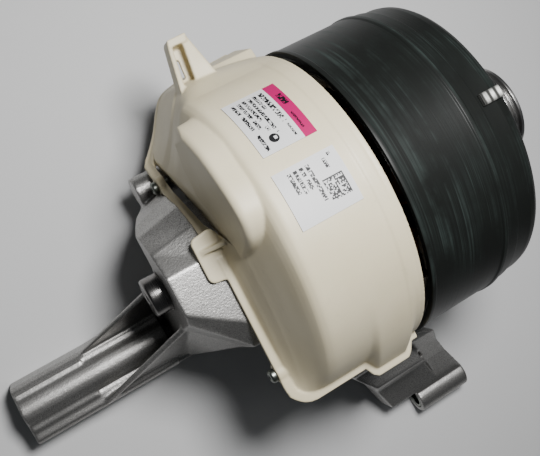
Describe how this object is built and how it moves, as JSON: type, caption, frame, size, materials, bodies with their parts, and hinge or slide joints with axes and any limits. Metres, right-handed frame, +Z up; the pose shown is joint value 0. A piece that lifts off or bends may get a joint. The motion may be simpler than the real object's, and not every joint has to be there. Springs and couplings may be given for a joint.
{
  "type": "belt-drive motor",
  "caption": "External-rotor brushless motor with a ribbed belt pulley, a cast mounting frame with a long arm and a short lug, and a moulded cover over built-in control electronics.",
  "frame": {"origin": "centre of the flat end face of the shaft's drive end, in front of the belt pulley", "axes": "+X along the shaft, out of the drive end; +Z up, from the floor that the drum, the long arm and the short lug stand on; +Y towards the cover's ear"},
  "size_m": [0.335, 0.2943, 0.18],
  "materials": {
    "cast_aluminium": "sand-cast, matt, speckled grey",
    "bright_steel": "turned or ground",
    "dark_steel": "dark, polished",
    "back_iron": "rolled strip",
    "lamination": "varnished sheet stack",
    "drum_black": "satin black, greenish dust rings",
    "cream_plastic": "fine moulded grain",
    "nylon": "natural nylon",
    "copper_wire": "enamelled copper",
    "ferrite": "sintered, dull",
    "board_green": "solder mask",
    "module_black": "moulded epoxy",
    "capacitor_sleeve": "shrink sleeve",
    "label_paper": "printed film",
    "wire_insulation": "braided sleeve"
  },
  "bodies": {
    "housing": {"board_screw_1": "dark_steel", "board_screw_2": "dark_steel", "board_screw_3": "dark_steel", "bulk_capacitor_1": "capacitor_sleeve", "bulk_capacitor_2": "capacitor_sleeve", "code_label": "label_paper", "connector_header": "nylon", "control_board": "board_green", "cover_screw_1": "dark_steel", "cover_screw_2": "dark_steel", "electronics_cover": "cream_plastic", "filter_choke": "copper_wire", "front_bearing_outer_ring": "bright_steel", "heat_sink": "cast_aluminium", "long_arm_sleeve": "bright_steel", "mounting_frame": "cast_aluminium", "phase_leads": "wire_insulation", "power_module": "module_black", "preload_wave_washer": "bright_steel", "rating_label": "label_paper", "rear_bearing_cap": "dark_steel", "rear_bearing_outer_ring": "bright_steel", "short_lug_sleeve": "bright_steel", "stator_coil_01": "copper_wire", "stator_coil_02": "copper_wire", "stator_coil_03": "copper_wire", "stator_coil_04": "copper_wire", "stator_coil_05": "copper_wire", "stator_coil_06": "copper_wire", "stator_coil_07": "copper_wire", "stator_coil_08": "copper_wire", "stator_coil_09": "copper_wire", "stator_coil_10": "copper_wire", "stator_coil_11": "copper_wire", "stator_coil_12": "copper_wire", "stator_core": "lamination", "stator_insulator_front": "nylon", "stator_insulator_rear": "nylon", "stator_screw_1": "dark_steel", "stator_screw_2": "dark_steel", "stator_screw_3": "dark_steel"},
    "rotor": {"rotor_shell": "drum_black", "rotor_back_iron": "back_iron", "magnet_ring": "ferrite", "rotor_hub": "bright_steel", "motor_shaft": "bright_steel", "belt_pulley": "bright_steel", "pulley_retaining_ring": "dark_steel", "balance_clip": "bright_steel", "front_bearing_inner_ring": "bright_steel", "rear_bearing_inner_ring": "bright_steel"},
    "front_cage": {"front_bearing_balls": "bright_steel"},
    "rear_cage": {"rear_bearing_balls": "bright_steel"}
  },
  "joints": [
    {"name": "rotor_spin", "type": "hinge", "parent": "housing", "child": "rotor", "pos_m": [0, 0, 0], "axis": [1, 0, 0], "continuous": true},
    {"name": "front_cage_spin", "type": "hinge", "parent": "housing", "child": "front_cage", "pos_m": [0, 0, 0], "axis": [1, 0, 0], "continuous": true},
    {"name": "rear_cage_spin", "type": "hinge", "parent": "housing", "child": "rear_cage", "pos_m": [0, 0, 0], "axis": [1, 0, 0], "continuous": true}
  ],
  "couplings": [
    {"joint": "front_cage_spin", "follows": "rotor_spin", "ratio": 0.372},
    {"joint": "rear_cage_spin", "follows": "rotor_spin", "ratio": 0.3615}
  ]
}
